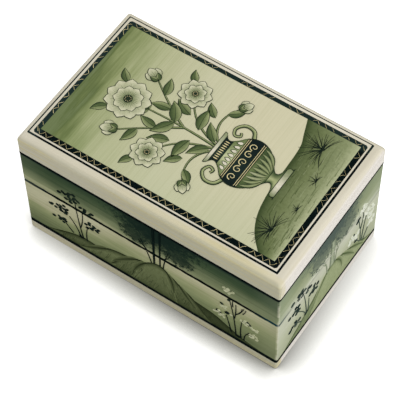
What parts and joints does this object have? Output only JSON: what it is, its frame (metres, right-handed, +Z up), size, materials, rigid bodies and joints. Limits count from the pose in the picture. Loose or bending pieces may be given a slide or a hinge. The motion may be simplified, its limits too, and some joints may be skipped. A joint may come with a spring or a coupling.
{
  "type": "decorative box",
  "caption": "Oblong painted wooden keepsake box with a thick rounded-edge lid on small brass butt hinges, for holding trinkets.",
  "frame": {"origin": "centre of the underside of the floor board, on the surface that the box stands on", "axes": "+X along the box's length, -Y towards the front, +Y towards the hinges, +Z up"},
  "size_m": [0.15, 0.0965, 0.08],
  "materials": {
    "cream_paint": "satin lacquered cream paint on wood",
    "green_paint": "satin lacquered green landscape painting on wood",
    "brass": "drawn brass, slightly tarnished",
    "felt": "pressed wool felt, dark green"
  },
  "bodies": {
    "base": {"base_floor_board": "cream_paint", "base_front_wall": "green_paint", "base_back_wall": "green_paint", "base_right_wall": "green_paint", "base_left_wall": "green_paint", "floor_lining": "felt", "hinge_left_base_leaf": "brass", "hinge_left_pin": "brass", "hinge_left_base_screw_outer": "brass", "hinge_left_base_screw_inner": "brass", "hinge_right_base_leaf": "brass", "hinge_right_pin": "brass", "hinge_right_base_screw_outer": "brass", "hinge_right_base_screw_inner": "brass"},
    "lid": {"lid_front_rail": "green_paint", "lid_back_rail": "green_paint", "lid_right_rail": "green_paint", "lid_left_rail": "green_paint", "lid_top_board": "cream_paint", "hinge_left_lid_leaf": "brass", "hinge_left_lid_screw_outer": "brass", "hinge_left_lid_screw_inner": "brass", "hinge_right_lid_leaf": "brass", "hinge_right_lid_screw_outer": "brass", "hinge_right_lid_screw_inner": "brass"}
  },
  "joints": [
    {"name": "lid_hinge", "type": "hinge", "parent": "base", "child": "lid", "pos_m": [0, 0.0484, 0.04365], "axis": [-1, 0, 0], "range_deg": [0, 180]}
  ]
}
